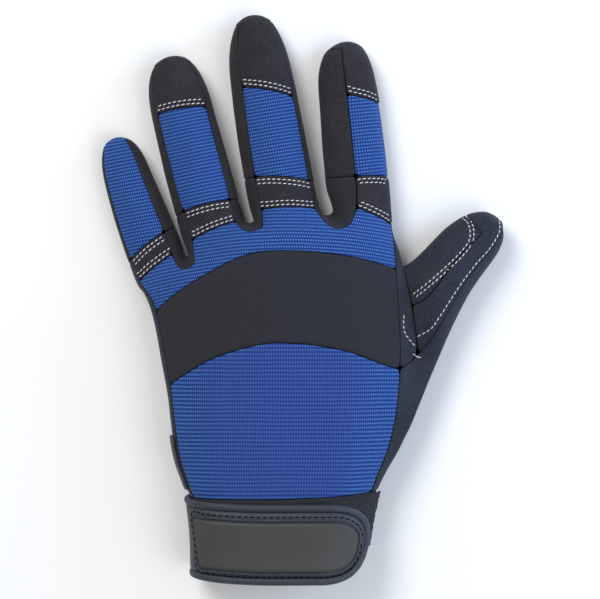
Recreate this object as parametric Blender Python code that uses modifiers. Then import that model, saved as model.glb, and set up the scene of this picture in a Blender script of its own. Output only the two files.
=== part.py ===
"""A left-hand mechanic's glove, lying palm down, built as the panels it is sewn from.

Metres, +Z up, +Y towards the fingertips, +X towards the thumb. The origin is on the flat of the
palm, where the glove rests. One skin is modelled as a cage and subdivided. Each panel is the part
of that skin between its seams, extruded inwards to the thickness of its cloth.
"""

import bisect
import math
from collections import namedtuple

import bmesh
import bpy
from mathutils import Vector
from mathutils.bvhtree import BVHTree

# Hand of the glove
HAND_LENGTH = 0.152  # wrist strap's lower edge to the crotch beside the middle finger
PALM_WIDTH = 0.0986
PALM_DEPTH = 0.034
REST_SETBACK = 0.077  # wrist strap's lower edge to the origin, on the flat of the palm
REST_CENTRE = 0.5  # share of the palm's width, from its left edge, that lies over the origin
FLOOR_SINK = 0.0012  # cloth that presses flat under the glove
CROTCH_WIDTH = 0.0042  # floor of the gusset between two fingers

# Cloth
WALLS = {"knit": 0.0015, "suede": 0.0014, "stretch": 0.0012}
SUEDE_PROUD = 0.0006  # how far a sewn-on suede piece stands above the cloth beside it
SEAM_GAP = 0.0003

# Thumb
THUMB_LENGTH = 0.0670
THUMB_WIDTH = 0.0260
THUMB_DEPTH = 0.0225
THUMB_LEAN = (25.0, 60.0)  # degrees from +Y towards +X, at its root and at its tip
THUMB_CURL = 1.8  # exponent: above 1, it leans over more towards its tip

# Wrist strap, from the seam on the little-finger side over the back of the wrist
PAD_END = 2.0  # degrees round from the thumb side of the wrist to the fuzzy pad's end
STRAP_START = 0.0048  # from the pad's end to the strap's rounded end
STRAP_LENGTH = 0.0927
STRAP_WIDTH = 0.0345
STRAP_THICKNESS = 0.0020
STRAP_CENTRE = -0.0605  # y of its middle line, over the middle of the wrist
STRAP_RISE = 0.0042  # how much further forward that line lies at the little-finger edge
CORNER_LENGTH = 0.0170  # the rounded end's corners, along the strap and across it
CORNER_WIDTH = 0.0150
BINDING_WIDTH = 0.0036
BINDING_THICKNESS = 0.0028
PATCH_BORDER = 0.0034  # from the binding to the rubber patch
PATCH_DROP = 0.0010  # below the strap's middle line
PATCH_LENGTH = 0.0715
PATCH_THICKNESS = 0.0011
PAD_LENGTH = 0.0280  # the closure's fuzzy pad, on the cuff under the strap's rounded end
PAD_WIDTH = 0.0230
PAD_THICKNESS = 0.0009
PAD_RISE = 0.0104  # how much further forward the pad lies than the strap
PAD_TAPER = 0.0046  # how much lower the pad's front edge lies at its hidden end

# Bound edge down the little-finger side of the wrist
EDGE_WIDTH = 0.0052
EDGE_THICKNESS = 0.0012
EDGE_FROM = -0.0380
EDGE_TO = -0.0145

SUBDIVISIONS = 1
CAGE_SWELL = 1.075  # a subdivided ring draws in by this much, so its cage is that much wider

# Each finger's length, widths, depth and how far its line starts beside the middle of its root
Finger = namedtuple("Finger", "name length base_width tip_width depth shift")
FINGERS = (
    Finger("little", 0.0655, 0.0260, 0.0188, 0.0185, 0.0016),
    Finger("ring", 0.0857, 0.0288, 0.0255, 0.0210, -0.0005),
    Finger("middle", 0.0935, 0.0295, 0.0270, 0.0215, -0.0040),
    Finger("index", 0.0825, 0.0292, 0.0255, 0.0210, -0.0049),
)
# Degrees each finger leans from +Y towards the thumb at its base and tip, and how far it is rolled
Lean = namedtuple("Lean", "base tip roll")
LEANS = {
    "little": Lean(-23, -16, -14),
    "ring": Lean(-16, -13, 0),
    "middle": Lean(-10, -9, 10),
    "index": Lean(-3, -8, 47),
}
# A seam across a finger's back: its share of the finger's length, the degrees it leans from square
# to +Y, and half the angle that the back panel covers round the finger there
Seam = namedtuple("Seam", "along lean spread")
TAB_LOW = {
    "little": Seam(0.08, -40, 52),
    "ring": Seam(0.07, -22, 46),
    "middle": Seam(0.055, -2, 55),
    "index": Seam(0.09, 34, 48),
}
TAB_HIGH = {
    "little": Seam(0.25, -40, 55),
    "ring": Seam(0.205, -13, 53),
    "middle": Seam(0.218, 4, 60),
    "index": Seam(0.285, -6, 50),
}
CAP_LOW = {
    "little": Seam(0.72, -16, 55),
    "ring": Seam(0.70, -8, 60),
    "middle": Seam(0.600, 14, 55),
    "index": Seam(0.688, 21, 52),
}

# Each edge and crotch of the knuckle line, as shares of PALM_WIDTH and HAND_LENGTH, on the back of
# the hand and on its palm side
RootPoint = namedtuple("RootPoint", "across along palm_across palm_along")
ROOT_LINE = (
    RootPoint(-0.634, 0.806, -0.632, 0.822),
    RootPoint(-0.444, 0.868, -0.448, 0.930),
    RootPoint(-0.158, 0.984, -0.176, 1.018),
    RootPoint(0.2155, 0.990, 0.150, 1.045),
    RootPoint(0.4655, 0.955, 0.470, 0.965),
)
ROOT_BOW = 0.012  # how far a finger's back stands forward of its crotches, of HAND_LENGTH

# Sections of the hand, from hem to knuckles. Along is a share of HAND_LENGTH at the middle and at both
# edges of the back, across is a share of PALM_WIDTH from its centre, depth is a share of PALM_DEPTH
HandRow = namedtuple("HandRow", "name mid left right x_left x_right side x_side depth round")
HAND_ROWS = (
    HandRow("hem", 0.030, 0.066, 0.062, -0.407, 0.322, 0.062, 0.334, 0.82, 3.0),
    HandRow("cuff_middle", 0.125, 0.125, 0.125, -0.405, 0.332, 0.125, 0.345, 0.88, 3.0),
    HandRow("cuff_top", 0.235, 0.240, 0.265, -0.422, 0.364, 0.265, 0.376, 0.96, 2.8),
    HandRow("heel", 0.341, 0.327, 0.341, -0.495, 0.425, 0.346, 0.474, 1.00, 2.5),
    HandRow("palm_low", 0.494, 0.425, 0.4385, -0.513, 0.465, 0.440, 0.575, 1.02, 2.4),
    HandRow("band_low", 0.679, 0.545, 0.575, -0.536, 0.495, 0.640, 0.550, 1.02, 2.4),
    HandRow("band_middle", 0.810, 0.648, 0.726, -0.568, 0.497, 0.796, 0.520, 1.00, 2.4),
    HandRow("band_top", 0.9385, 0.7486, 0.880, -0.594, 0.482, 0.862, 0.492, 0.95, 2.4),
)
ROOT_SIDE = (0.470, 0.955)  # across and along, at the right edge
ROOT_DEPTH = 0.86
EDGE_COLUMN = 0.977  # how far out the back panels' edge lies, of the half width
ROOT_ROUND = 2.4  # exponent of the section, as round is for each row: 2 is an ellipse

# Rings of a finger between its tab and its cap, and between its cap's edge and its tip
ShaftRow = namedtuple("ShaftRow", "along width depth")
SHAFT_ROWS = (ShaftRow(0.33, 1.02, 1.0), ShaftRow(0.67, 1.01, 1.0))
TIP_ROWS = (ShaftRow(0.52, 0.96, 0.92), ShaftRow(0.90, 0.64, 0.62))
TIP_OVERRUN = 1.02  # a subdivided tip draws back, so its cage ends this much further out
SEAM_BOW = 0.10  # how far a tab's edge bows forward on the back, of the finger's width

THUMB_ANGLES = (80, 43, 2, -50, -90, -130, -165, -195, -230, -255)
ThumbRow = namedtuple("ThumbRow", "along width depth skew")
THUMB_ROWS = (
    ThumbRow(0.27, 1.42, 1.10, 37),
    ThumbRow(0.53, 1.01, 1.06, 14),
    ThumbRow(0.70, 0.98, 1.0, 4),
    ThumbRow(0.86, 0.86, 0.9, 0),
    ThumbRow(0.975, 0.52, 0.6, 0),
)
THUMB_PATCH_TURN = 4  # the ring from which the patch covers the whole back of the thumb
THUMB_BASE = (0.500, 0.665)  # across and along

# How the strap's pieces are meshed
FOLD = 0.08  # radians that the cloth turns between two stations
MIN_STATION = 0.0009
MAX_STATION = 0.0085
CORNER_STEPS = 4
WRIST_STEPS = 640  # of half a degree, more than any strap goes round
STRAP_LIFT = 0.016  # how far the strap takes to climb on to the pad
SHEET_SHARES = (-1, -0.4, 0.4, 1)  # across a sheet, of half its width
# The binding's section as shares of its width from the strap's edge and of its thickness
BINDING_SECTION = ((0.10, 0.0), (0.0, 0.5), (0.25, 1.0), (0.80, 1.0), (1.0, 0.55), (1.0, 0.0))

# Column numbers round the hand: the back, its right edge, the palm, its left edge
BACK_COLUMNS = 12
RIGHT_SIDE = BACK_COLUMNS
PALM_FIRST = RIGHT_SIDE + 1
LEFT_SIDE = PALM_FIRST + BACK_COLUMNS
COLUMNS = LEFT_SIDE + 1
THUMB_STRIPS = (4, 5, 6)  # strips of the hand that the thumb's hole cuts
THUMB_COLUMNS = (RIGHT_SIDE, PALM_FIRST)

# Panels in order: name, cloth and how far it stands proud of the skin
Panel = namedtuple("Panel", "name cloth proud")


def list_panels():
    """Every sewn panel of the skin, in the order of its material number."""
    panels = [
        Panel("cuff", "stretch", 0),
        Panel("palm", "suede", 0),
        Panel("back_lower", "knit", 0),
        Panel("knuckle_band", "stretch", 0),
        Panel("back_upper", "knit", 0),
        Panel("thumb_inner", "suede", 0),
        Panel("thumb_patch", "suede", SUEDE_PROUD),
        Panel("thumb_outer", "suede", 0),
    ]
    for left, right in zip(FINGERS, FINGERS[1:]):
        panels.append(Panel(f"gusset_{left.name}_{right.name}", "stretch", 0))
    for finger in FINGERS:
        panels.append(Panel(f"knuckle_tab_{finger.name}", "suede", SUEDE_PROUD))
        panels.append(Panel(f"finger_back_{finger.name}", "knit", 0))
        panels.append(Panel(f"finger_left_{finger.name}", "suede", 0))
        panels.append(Panel(f"finger_right_{finger.name}", "suede", 0))
        if finger.name != "little":
            panels.append(Panel(f"fingertip_{finger.name}", "suede", SUEDE_PROUD))
    return panels


PANELS = list_panels()
PANEL_NUMBER = {panel.name: number for number, panel in enumerate(PANELS)}

CLOTHS = {  # colour, roughness
    "knit": ((0.020, 0.085, 0.420), 0.80),
    "suede": ((0.020, 0.018, 0.019), 0.92),
    "stretch": ((0.018, 0.018, 0.022), 0.85),
    "binding": ((0.022, 0.026, 0.034), 0.60),
    "rubber": ((0.070, 0.070, 0.066), 0.65),
    "loop": ((0.010, 0.011, 0.014), 0.95),
}


def material(cloth):
    """The Principled material of one cloth, made once."""
    made = bpy.data.materials.get(cloth)
    if made is None:
        made = bpy.data.materials.new(cloth)
        made.use_nodes = True
        shader = made.node_tree.nodes["Principled BSDF"]
        colour, roughness = CLOTHS[cloth]
        shader.inputs["Base Color"].default_value = (*colour, 1)
        shader.inputs["Roughness"].default_value = roughness
        shader.inputs["Metallic"].default_value = 0
    return made


def across_to_x(share):
    return share * PALM_WIDTH + (0.5 - REST_CENTRE) * PALM_WIDTH


def along_to_y(share):
    return share * HAND_LENGTH - REST_SETBACK


def root_columns(line):
    """(x, y) of twelve columns on the knuckle line: left, middle and right of each finger."""
    points = []
    for i in range(len(FINGERS)):
        left, right = line[i], line[i + 1]
        x_left, x_right = across_to_x(left[0]), across_to_x(right[0])
        if i > 0:
            x_left += CROTCH_WIDTH / 2
        if i < len(FINGERS) - 1:
            x_right -= CROTCH_WIDTH / 2
        middle = (left[1] + right[1]) / 2 + ROOT_BOW
        points.append((x_left, along_to_y(left[1])))
        points.append(((x_left + x_right) / 2, along_to_y(middle)))
        points.append((x_right, along_to_y(right[1])))
    return points


def back_line():
    return [(point.across, point.along) for point in ROOT_LINE]


def palm_line():
    return [(point.palm_across, point.palm_along) for point in ROOT_LINE]


def column_shares():
    """Where each back column lies across the hand, from -1 to 1, so that it runs into its finger."""
    xs = [x for x, y in root_columns(back_line())]
    centre, half = (xs[0] + xs[-1]) / 2, (xs[-1] - xs[0]) / 2
    return [EDGE_COLUMN * (x - centre) / half for x in xs]


def dome(share, exponent):
    """Height of the hand's rounded section, as a share of its half depth."""
    return max(1 - abs(share) ** exponent, 0) ** (1 / exponent)


def ring_of(bm, back, palm, right, left):
    return [bm.verts.new(p) for p in (*back, right, *reversed(palm), left)]


def hand_ring(bm, row):
    """One cage ring round the hand. The back follows the row's arc, the palm runs straight across."""
    x_left, x_right = across_to_x(row.x_left), across_to_x(row.x_right)
    centre, half = (x_left + x_right) / 2, (x_right - x_left) / 2
    half_depth = row.depth * PALM_DEPTH / 2
    height = half_depth - FLOOR_SINK
    back, palm = [], []
    for c in column_shares():
        edge = row.left if c < 0 else row.right
        x = centre + half * c
        back_y = along_to_y(row.mid + (edge - row.mid) * c * c)
        palm_y = along_to_y(row.left + (row.right - row.left) * (c + 1) / 2)
        back.append(Vector((x, back_y, height + half_depth * dome(c, row.round))))
        palm.append(Vector((x, palm_y, height - half_depth * dome(c, row.round))))
    right = Vector((across_to_x(row.x_side), along_to_y(row.side), height))
    left = Vector((x_left, along_to_y(row.left), height))
    return ring_of(bm, back, palm, right, left)


def root_ring(bm):
    """The cage ring at the knuckle line, which the fingers and the crotches share."""
    half_depth = ROOT_DEPTH * PALM_DEPTH / 2
    height = half_depth - FLOOR_SINK
    back, palm = [], []
    for (x, y), c in zip(root_columns(back_line()), column_shares()):
        back.append(Vector((x, y, height + half_depth * dome(c, ROOT_ROUND))))
    for (x, y), c in zip(root_columns(palm_line()), column_shares()):
        palm.append(Vector((x, y, height - half_depth * dome(c, ROOT_ROUND))))
    right = Vector((across_to_x(ROOT_SIDE[0]), along_to_y(ROOT_SIDE[1]), height))
    left = Vector((back[0].x, (back[0].y + palm[0].y) / 2, height))
    return ring_of(bm, back, palm, right, left)


def strip(bm, first, second, panel_of):
    """Quads between two closed rings. panel_of(k) names the panel of quad k, or None for a hole."""
    count = len(first)
    for k in range(count):
        panel = panel_of(k)
        if panel is None:
            continue
        n = (k + 1) % count
        face = bm.faces.new((first[k], first[n], second[n], second[k]))
        face.material_index = PANEL_NUMBER[panel]


def lean_at(share, leans, curl=1.0):
    return math.radians(leans[0] + (leans[1] - leans[0]) * share**curl)


def centre_line(start, length, leans, share, curl=1.0, steps=24):
    """The point that far along a digit's line, which turns from its first lean to its last."""
    point = start.copy()
    step = length * share / steps
    for i in range(steps):
        lean = lean_at(share * (i + 0.5) / steps, leans, curl)
        point += step * Vector((math.sin(lean), math.cos(lean), 0))
    return point


def digit_ring(bm, centre, lean, half_width, half_depth, angles, roll=0.0, bow=0.0, seam=None):
    """A cage ring round a finger or thumb. It bows forward over the back by bow, and seam is the
    lean of the line across it, where that isn't square to the digit."""
    slant = 0.0 if seam is None else math.tan(lean - seam)
    along = Vector((math.sin(lean), math.cos(lean), 0))
    across = Vector((math.cos(lean), -math.sin(lean), 0))
    ring = []
    for angle in angles:
        turn = math.radians(angle + roll)
        lifted = max(math.cos(math.radians(angle)), 0)
        beside = CAGE_SWELL * half_width * math.sin(turn)
        point = centre + beside * (across + slant * along)
        point += CAGE_SWELL * half_depth * math.cos(turn) * Vector((0, 0, 1)) + bow * lifted * along
        ring.append(bm.verts.new(point))
    return ring


def close_tip(bm, ring, apex, panels):
    """Four quads round an apex close an eight-sided tip."""
    for k, panel in zip((0, 2, 4, 6), panels):
        face = bm.faces.new((ring[k - 1], ring[k], ring[k + 1], apex))
        face.material_index = PANEL_NUMBER[panel]


def between(first, second, share):
    return first + (second - first) * share


def finger_rows(name):
    """(along, width, depth, seam, spread) of each ring of a finger, from its tab to its tip."""
    low, high, cap = TAB_LOW[name], TAB_HIGH[name], CAP_LOW[name]
    rows = [(low.along, 1.0, 1.0, low.lean, low.spread), (high.along, 1.0, 1.0, high.lean, high.spread)]
    for row in SHAFT_ROWS:
        along, lean, spread = (between(high[i], cap[i], row.along) for i in range(3))
        rows.append((along, row.width, row.depth, lean, spread))
    rows.append((cap.along, 1.0, 1.0, cap.lean, cap.spread))
    for row in TIP_ROWS:
        rows.append((between(cap.along, 1, row.along), row.width, row.depth, None, cap.spread))
    return rows


def finger_angles(spread):
    """Angles round a finger from the middle of its back, in degrees, one for each cage line."""
    return (-spread, 0, spread, 90, 124, 180, 236, 270)


def add_finger(bm, index, root, crotches):
    """One finger from its root on the hand's ring to its closed tip."""
    finger = FINGERS[index]
    first = 3 * index
    right_mid = crotches[index][0] if index < len(crotches) else root[RIGHT_SIDE]
    left_mid = crotches[index - 1][1] if index > 0 else root[LEFT_SIDE]
    palm = [root[LEFT_SIDE - 1 - (first + i)] for i in range(3)]
    ring = [*root[first : first + 3], right_mid, palm[2], palm[1], palm[0], left_mid]

    name = finger.name
    leans = (LEANS[name].base, LEANS[name].tip)
    start = (root[first].co + root[first + 2].co) / 2 + Vector((finger.shift, 0, 0))
    is_first, is_last = index == 0, index == len(FINGERS) - 1
    left_gusset = None if is_first else f"gusset_{FINGERS[index - 1].name}_{name}"
    right_gusset = None if is_last else f"gusset_{name}_{FINGERS[index + 1].name}"
    tip = f"finger_back_{name}" if is_first else f"fingertip_{name}"
    backs = ["back_upper", f"knuckle_tab_{name}", *[f"finger_back_{name}"] * 3, tip, tip]

    for number, (along, width, depth, seam, spread) in enumerate(finger_rows(name)):
        half_width = width * (finger.base_width + (finger.tip_width - finger.base_width) * along) / 2
        half_depth = depth * finger.depth * half_width / (width * finger.base_width)
        height = max(half_depth - FLOOR_SINK, finger.depth / 4)
        centre = centre_line(start, finger.length, leans, along)
        centre.z = height
        bow = SEAM_BOW * finger.base_width
        lean = lean_at(along, leans)
        seam = lean if seam is None else math.radians(seam)
        roll = LEANS[name].roll
        angles = finger_angles(spread)
        following = digit_ring(bm, centre, lean, half_width, half_depth, angles, roll, bow, seam)
        low = number < 2

        def panel_of(k, number=number, low=low):
            if k in (0, 1):
                return backs[number]
            if k in (2, 3):
                return (right_gusset or "palm") if low else f"finger_right_{name}"
            if k in (4, 5):
                return "palm"
            return (left_gusset or "palm") if low else f"finger_left_{name}"

        strip(bm, ring, following, panel_of)
        ring = following
    apex_point = centre_line(start, finger.length * TIP_OVERRUN, leans, 1)
    apex_point.z = centre.z
    apex = bm.verts.new(apex_point)
    close_tip(bm, ring, apex, (tip, tip, "palm", "palm"))


def add_crotches(bm, root):
    """The floor of each gusset: two quads from the back to the palm, between two fingers."""
    crotches = []
    for i in range(len(FINGERS) - 1):
        back = (3 * i + 2, 3 * i + 3)
        palm = [LEFT_SIDE - 1 - c for c in back]
        mids = []
        for upper, lower in zip(back, palm):
            middle = (root[upper].co + root[lower].co) / 2
            mids.append(bm.verts.new(middle))
        gusset = PANEL_NUMBER[f"gusset_{FINGERS[i].name}_{FINGERS[i + 1].name}"]
        for pair in (
            (root[back[0]], root[back[1]], mids[1], mids[0]),
            (mids[0], mids[1], root[palm[1]], root[palm[0]]),
        ):
            bm.faces.new(pair).material_index = gusset
        crotches.append(mids)
    return crotches


def add_thumb(bm, rings):
    """The thumb, from the hole in the hand's side to its closed tip."""
    low, high = THUMB_STRIPS[0], THUMB_STRIPS[-1] + 1
    upper = [rings[i][RIGHT_SIDE] for i in range(low, high + 1)]
    lower = [rings[i][PALM_FIRST + 1] for i in range(high, low - 1, -1)]
    ring = [*upper, rings[high][PALM_FIRST], *lower, rings[low][PALM_FIRST]]
    start = Vector((across_to_x(THUMB_BASE[0]), along_to_y(THUMB_BASE[1]), 0))

    for number, row in enumerate(THUMB_ROWS):

        def panel_of(k, beyond=number >= THUMB_PATCH_TURN):
            if k == 1 or (beyond and k in (2, 3, 4)):
                return "thumb_patch"
            return "thumb_inner" if k in (2, 3, 4) else "thumb_outer"

        centre = centre_line(start, THUMB_LENGTH, THUMB_LEAN, row.along, THUMB_CURL)
        half_width, half_depth = row.width * THUMB_WIDTH / 2, row.depth * THUMB_DEPTH / 2
        centre.z = max(half_depth - FLOOR_SINK, THUMB_DEPTH * 0.4)
        lean = lean_at(row.along, THUMB_LEAN, THUMB_CURL) + math.radians(row.skew)
        following = digit_ring(bm, centre, lean, half_width, half_depth, THUMB_ANGLES)
        strip(bm, ring, following, panel_of)
        ring = following
    tip = centre_line(start, THUMB_LENGTH * TIP_OVERRUN, THUMB_LEAN, 1, THUMB_CURL)
    tip.z = centre.z
    # Six quads round two inner points close a ten-sided tip
    top, bottom = (bm.verts.new(tip + Vector((0, 0, z))) for z in (0.002, -0.002))
    for corners, panel in (
        ((ring[0], ring[1], top, ring[9]), "thumb_outer"),
        ((ring[1], ring[2], bottom, top), "thumb_patch"),
        ((ring[2], ring[3], ring[4], bottom), "thumb_patch"),
        ((ring[9], top, ring[7], ring[8]), "thumb_outer"),
        ((top, bottom, ring[6], ring[7]), "thumb_outer"),
        ((bottom, ring[4], ring[5], ring[6]), "thumb_outer"),
    ):
        bm.faces.new(corners).material_index = PANEL_NUMBER[panel]


def hand_panel(number, k):
    """The panel of quad k in strip number of the hand."""
    if number < 2:
        return "cuff"
    if number in THUMB_STRIPS and k in THUMB_COLUMNS:
        return None
    if number < THUMB_STRIPS[1] and k in (RIGHT_SIDE - 1, RIGHT_SIDE):
        return "thumb_outer"
    if k >= BACK_COLUMNS - 1:
        return "palm"
    if number < 5:
        return "back_lower"
    return "knuckle_band" if number < 7 else "back_upper"


def build_cage():
    """The whole skin of the glove as one coarse cage, each face numbered for its panel."""
    bm = bmesh.new()
    rings = [hand_ring(bm, row) for row in HAND_ROWS]
    rings.append(root_ring(bm))
    for number, (first, second) in enumerate(zip(rings, rings[1:])):
        strip(bm, first, second, lambda k, n=number: hand_panel(n, k))
    crotches = add_crotches(bm, rings[-1])
    for index in range(len(FINGERS)):
        add_finger(bm, index, rings[-1], crotches)
    add_thumb(bm, rings)
    loose = [v for v in bm.verts if not v.link_faces]
    bmesh.ops.delete(bm, geom=loose, context="VERTS")
    bmesh.ops.recalc_face_normals(bm, faces=bm.faces)
    return bm


def build_skin():
    """The subdivided skin, pressed flat where it meets the floor. OUTWARD keeps each point's normal."""
    cage = bpy.data.meshes.new("cage")
    bm = build_cage()
    bm.to_mesh(cage)
    bm.free()
    for panel in PANELS:
        cage.materials.append(material(panel.cloth))
    guide = bpy.data.objects.new("cage", cage)
    bpy.context.scene.collection.objects.link(guide)
    subdivide = guide.modifiers.new("Rounded", "SUBSURF")
    subdivide.levels = subdivide.render_levels = SUBDIVISIONS
    graph = bpy.context.evaluated_depsgraph_get()
    smooth = bpy.data.meshes.new_from_object(guide.evaluated_get(graph))
    bpy.data.objects.remove(guide)

    skin = bmesh.new()
    skin.from_mesh(smooth)
    for vert in skin.verts:
        vert.co.z = max(vert.co.z, 0)
    skin.normal_update()
    outward = skin.verts.layers.float_vector.new("outward")
    for vert in skin.verts:
        vert[outward] = vert.normal
    return skin


def new_object(name, bm, cloth, collection):
    """An object from a bmesh, smooth shaded, with its cloth's material."""
    mesh = bpy.data.meshes.new(name)
    bm.to_mesh(mesh)
    bm.free()
    mesh.materials.clear()
    mesh.materials.append(material(cloth))
    mesh.shade_smooth()
    mesh.set_sharp_from_angle(angle=math.radians(50))
    made = bpy.data.objects.new(name, mesh)
    collection.objects.link(made)
    return made


def thicken(bm, outward, proud, wall):
    """Extrudes an open sheet into a wall: its outer face proud of the sheet, but for its tip."""
    sheet = list(bm.faces)
    inner = bmesh.ops.extrude_face_region(bm, geom=sheet, use_keep_orig=True)["geom"]
    inner = [v for v in inner if isinstance(v, bmesh.types.BMVert)]
    moved = set(inner)
    for vert in bm.verts:
        away = Vector(vert[outward])
        vert.co += away * (-wall if vert in moved else proud * ease(1 - away.y))
    bmesh.ops.recalc_face_normals(bm, faces=bm.faces)


def cut_panel(skin, panel, collection):
    """The solid of one panel: its faces of the skin, drawn back from the seams and thickened."""
    bm = skin.copy()
    number = PANEL_NUMBER[panel.name]
    others = [face for face in bm.faces if face.material_index != number]
    bmesh.ops.delete(bm, geom=others, context="FACES")
    outward = bm.verts.layers.float_vector["outward"]
    edge = bmesh.ops.inset_region(
        bm, faces=bm.faces, thickness=SEAM_GAP / 2, use_boundary=True, use_even_offset=True
    )
    bmesh.ops.delete(bm, geom=edge["faces"], context="FACES")
    thicken(bm, outward, panel.proud, WALLS[panel.cloth])
    for face in bm.faces:
        face.material_index = 0
    return new_object(panel.name, bm, panel.cloth, collection)


def lay_grid(bm, low, high):
    """Closes two grids of points, one below and one above, into a solid."""
    rows, columns = len(low), len(low[0])
    sheets = [[[bm.verts.new(p) for p in line] for line in grid] for grid in (low, high)]
    for sheet in sheets:
        for i in range(rows - 1):
            for j in range(columns - 1):
                bm.faces.new((sheet[i][j], sheet[i + 1][j], sheet[i + 1][j + 1], sheet[i][j + 1]))
    rims = []
    for sheet in sheets:
        rim = sheet[0] + [line[-1] for line in sheet[1:-1]] + sheet[-1][::-1]
        rims.append(rim + [line[0] for line in sheet[-2:0:-1]])
    for k in range(len(rims[0])):
        n = (k + 1) % len(rims[0])
        bm.faces.new((rims[0][k], rims[0][n], rims[1][n], rims[1][k]))
    bmesh.ops.recalc_face_normals(bm, faces=bm.faces)


def ease(share):
    share = min(max(share, 0), 1)
    return share * share * (3 - 2 * share)


class Wrist:
    """Places points on the outside of the wrist: so far round it, at y, so high above the cloth."""

    def __init__(self, skin, centre, hem, first_angle, y):
        self.tree = BVHTree.FromBMesh(skin)
        self.centre = centre
        self.hem = hem
        self.angles = [math.radians(first_angle + i / 2) for i in range(WRIST_STEPS)]
        hits = [self.hit(angle, y) for angle in self.angles]
        self.lengths = [0.0]
        self.folds = []  # (place, angle) where the cloth's faces meet
        for a, b in zip(hits, hits[1:]):
            self.lengths.append(self.lengths[-1] + (b[0] - a[0]).length)
            if a[1].angle(b[1]) > 0.01:
                self.folds.append(((self.lengths[-1] + self.lengths[-2]) / 2, a[1].angle(b[1])))

    def hit(self, angle, y):
        x, z = self.centre
        outward = Vector((math.cos(angle), 0, math.sin(angle)))
        start = Vector((x, max(y, self.hem), z)) + outward * 0.1
        place, normal, index, distance = self.tree.ray_cast(start, -outward)
        return Vector((place.x, y, place.z)), normal

    def angle_at(self, round_it):
        i = max(bisect.bisect(self.lengths, round_it), 1)
        share = (round_it - self.lengths[i - 1]) / (self.lengths[i] - self.lengths[i - 1])
        return between(self.angles[i - 1], self.angles[i], share)

    def place(self, round_it, y, height):
        angle = self.angle_at(round_it)
        before, after = (self.hit(angle + turn, y)[0] for turn in (-0.03, 0.03))
        along = after - before
        outward = Vector((along.z, 0, -along.x)).normalized()
        return self.hit(angle, y)[0] + outward * height

    def stations(self, start, end):
        """Places from start to end at the cloth's folds, but for those that hardly turn it."""
        places, turned = [start], 0
        for fold, turn in self.folds:
            turned += turn
            clear = fold - places[-1] > MIN_STATION and end - fold > MIN_STATION
            if clear and (turned > FOLD or fold - places[-1] > MAX_STATION):
                places.append(fold)
                turned = 0
        return places + [end]


def strap_line(round_it):
    """y of the strap's middle line. It rises towards the little-finger side."""
    share = (round_it - STRAP_START) / STRAP_LENGTH
    return STRAP_CENTRE + STRAP_RISE * max(share * 2 - 0.9, -0.2) ** 2


def strap_clearance(round_it):
    """The strap lies on the cuff, and at its rounded end on the pad."""
    lifted = PAD_THICKNESS + 2 * SEAM_GAP
    return SEAM_GAP + lifted * ease((PAD_LENGTH + STRAP_LIFT - round_it) / STRAP_LIFT)


def half_width(inset, round_it):
    """Half the strap's width there, where its outline is drawn in by inset."""
    length, width = CORNER_LENGTH - inset, CORNER_WIDTH - inset
    short = max(1 - (round_it - STRAP_START - inset) / length, 0)
    return STRAP_WIDTH / 2 - inset - width + width * math.sqrt(max(1 - short**2, 0))


def strap_stations(wrist, inset, length):
    """Places along the strap: close together round its corner, then where the cloth folds."""
    corner = CORNER_LENGTH - inset
    start = STRAP_START + inset
    steps = CORNER_STEPS
    places = [start + corner * (1 - math.cos(math.pi / 2 * i / steps)) for i in range(steps)]
    limit = STRAP_START + min(length, STRAP_LENGTH - BINDING_WIDTH - SEAM_GAP)
    return places + wrist.stations(start + corner, limit)[:-1] + [STRAP_START + length]


def strap_sheet(wrist, inset, length, low, high, drop=0.0):
    """A sheet of the strap with the strap's outline drawn in by inset, low to high above it."""
    grids = []
    for height in (low, high):
        grid = []
        for round_it in strap_stations(wrist, inset, length):
            half = half_width(inset, round_it)
            y = strap_line(round_it) - drop
            lift = strap_clearance(round_it) + height
            grid.append([wrist.place(round_it, y + half * share, lift) for share in SHEET_SHARES])
        grids.append(grid)
    return grids


def strap_outline(wrist, inset, length):
    """Points (round_it, beside the middle line) round the strap's edge, drawn in by inset."""
    places = strap_stations(wrist, inset, length)
    low = [(p, -half_width(inset, p)) for p in places]
    high = [(p, half_width(inset, p)) for p in reversed(places)]
    end = [(places[-1], 0)]
    tip = [(places[0], 0)]
    return low + end + high + tip


def add_binding(wrist, collection):
    """The tape folded round the strap's edge, as a ring with a rounded section."""
    bm = bmesh.new()
    loops = []
    for share, height in BINDING_SECTION:
        inset = share * BINDING_WIDTH
        loop = []
        for round_it, beside in strap_outline(wrist, inset, STRAP_LENGTH - inset):
            y = strap_line(round_it) + beside
            lift = strap_clearance(round_it) + height * BINDING_THICKNESS
            loop.append(bm.verts.new(wrist.place(round_it, y, lift)))
        loops.append(loop)
    for first, second in zip(loops, loops[1:] + loops[:1]):
        for k in range(len(first)):
            n = (k + 1) % len(first)
            bm.faces.new((first[k], first[n], second[n], second[k]))
    bmesh.ops.recalc_face_normals(bm, faces=bm.faces)
    new_object("strap_binding", bm, "binding", collection)


def add_strap(wrist, collection):
    inset = BINDING_WIDTH + SEAM_GAP
    bm = bmesh.new()
    lay_grid(bm, *strap_sheet(wrist, inset, STRAP_LENGTH - inset, 0, STRAP_THICKNESS))
    new_object("strap_body", bm, "binding", collection)

    add_binding(wrist, collection)

    bm = bmesh.new()
    low = STRAP_THICKNESS + SEAM_GAP
    high = low + PATCH_THICKNESS
    lay_grid(bm, *strap_sheet(wrist, BINDING_WIDTH + PATCH_BORDER, PATCH_LENGTH, low, high, PATCH_DROP))
    new_object("strap_patch", bm, "rubber", collection)


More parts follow.
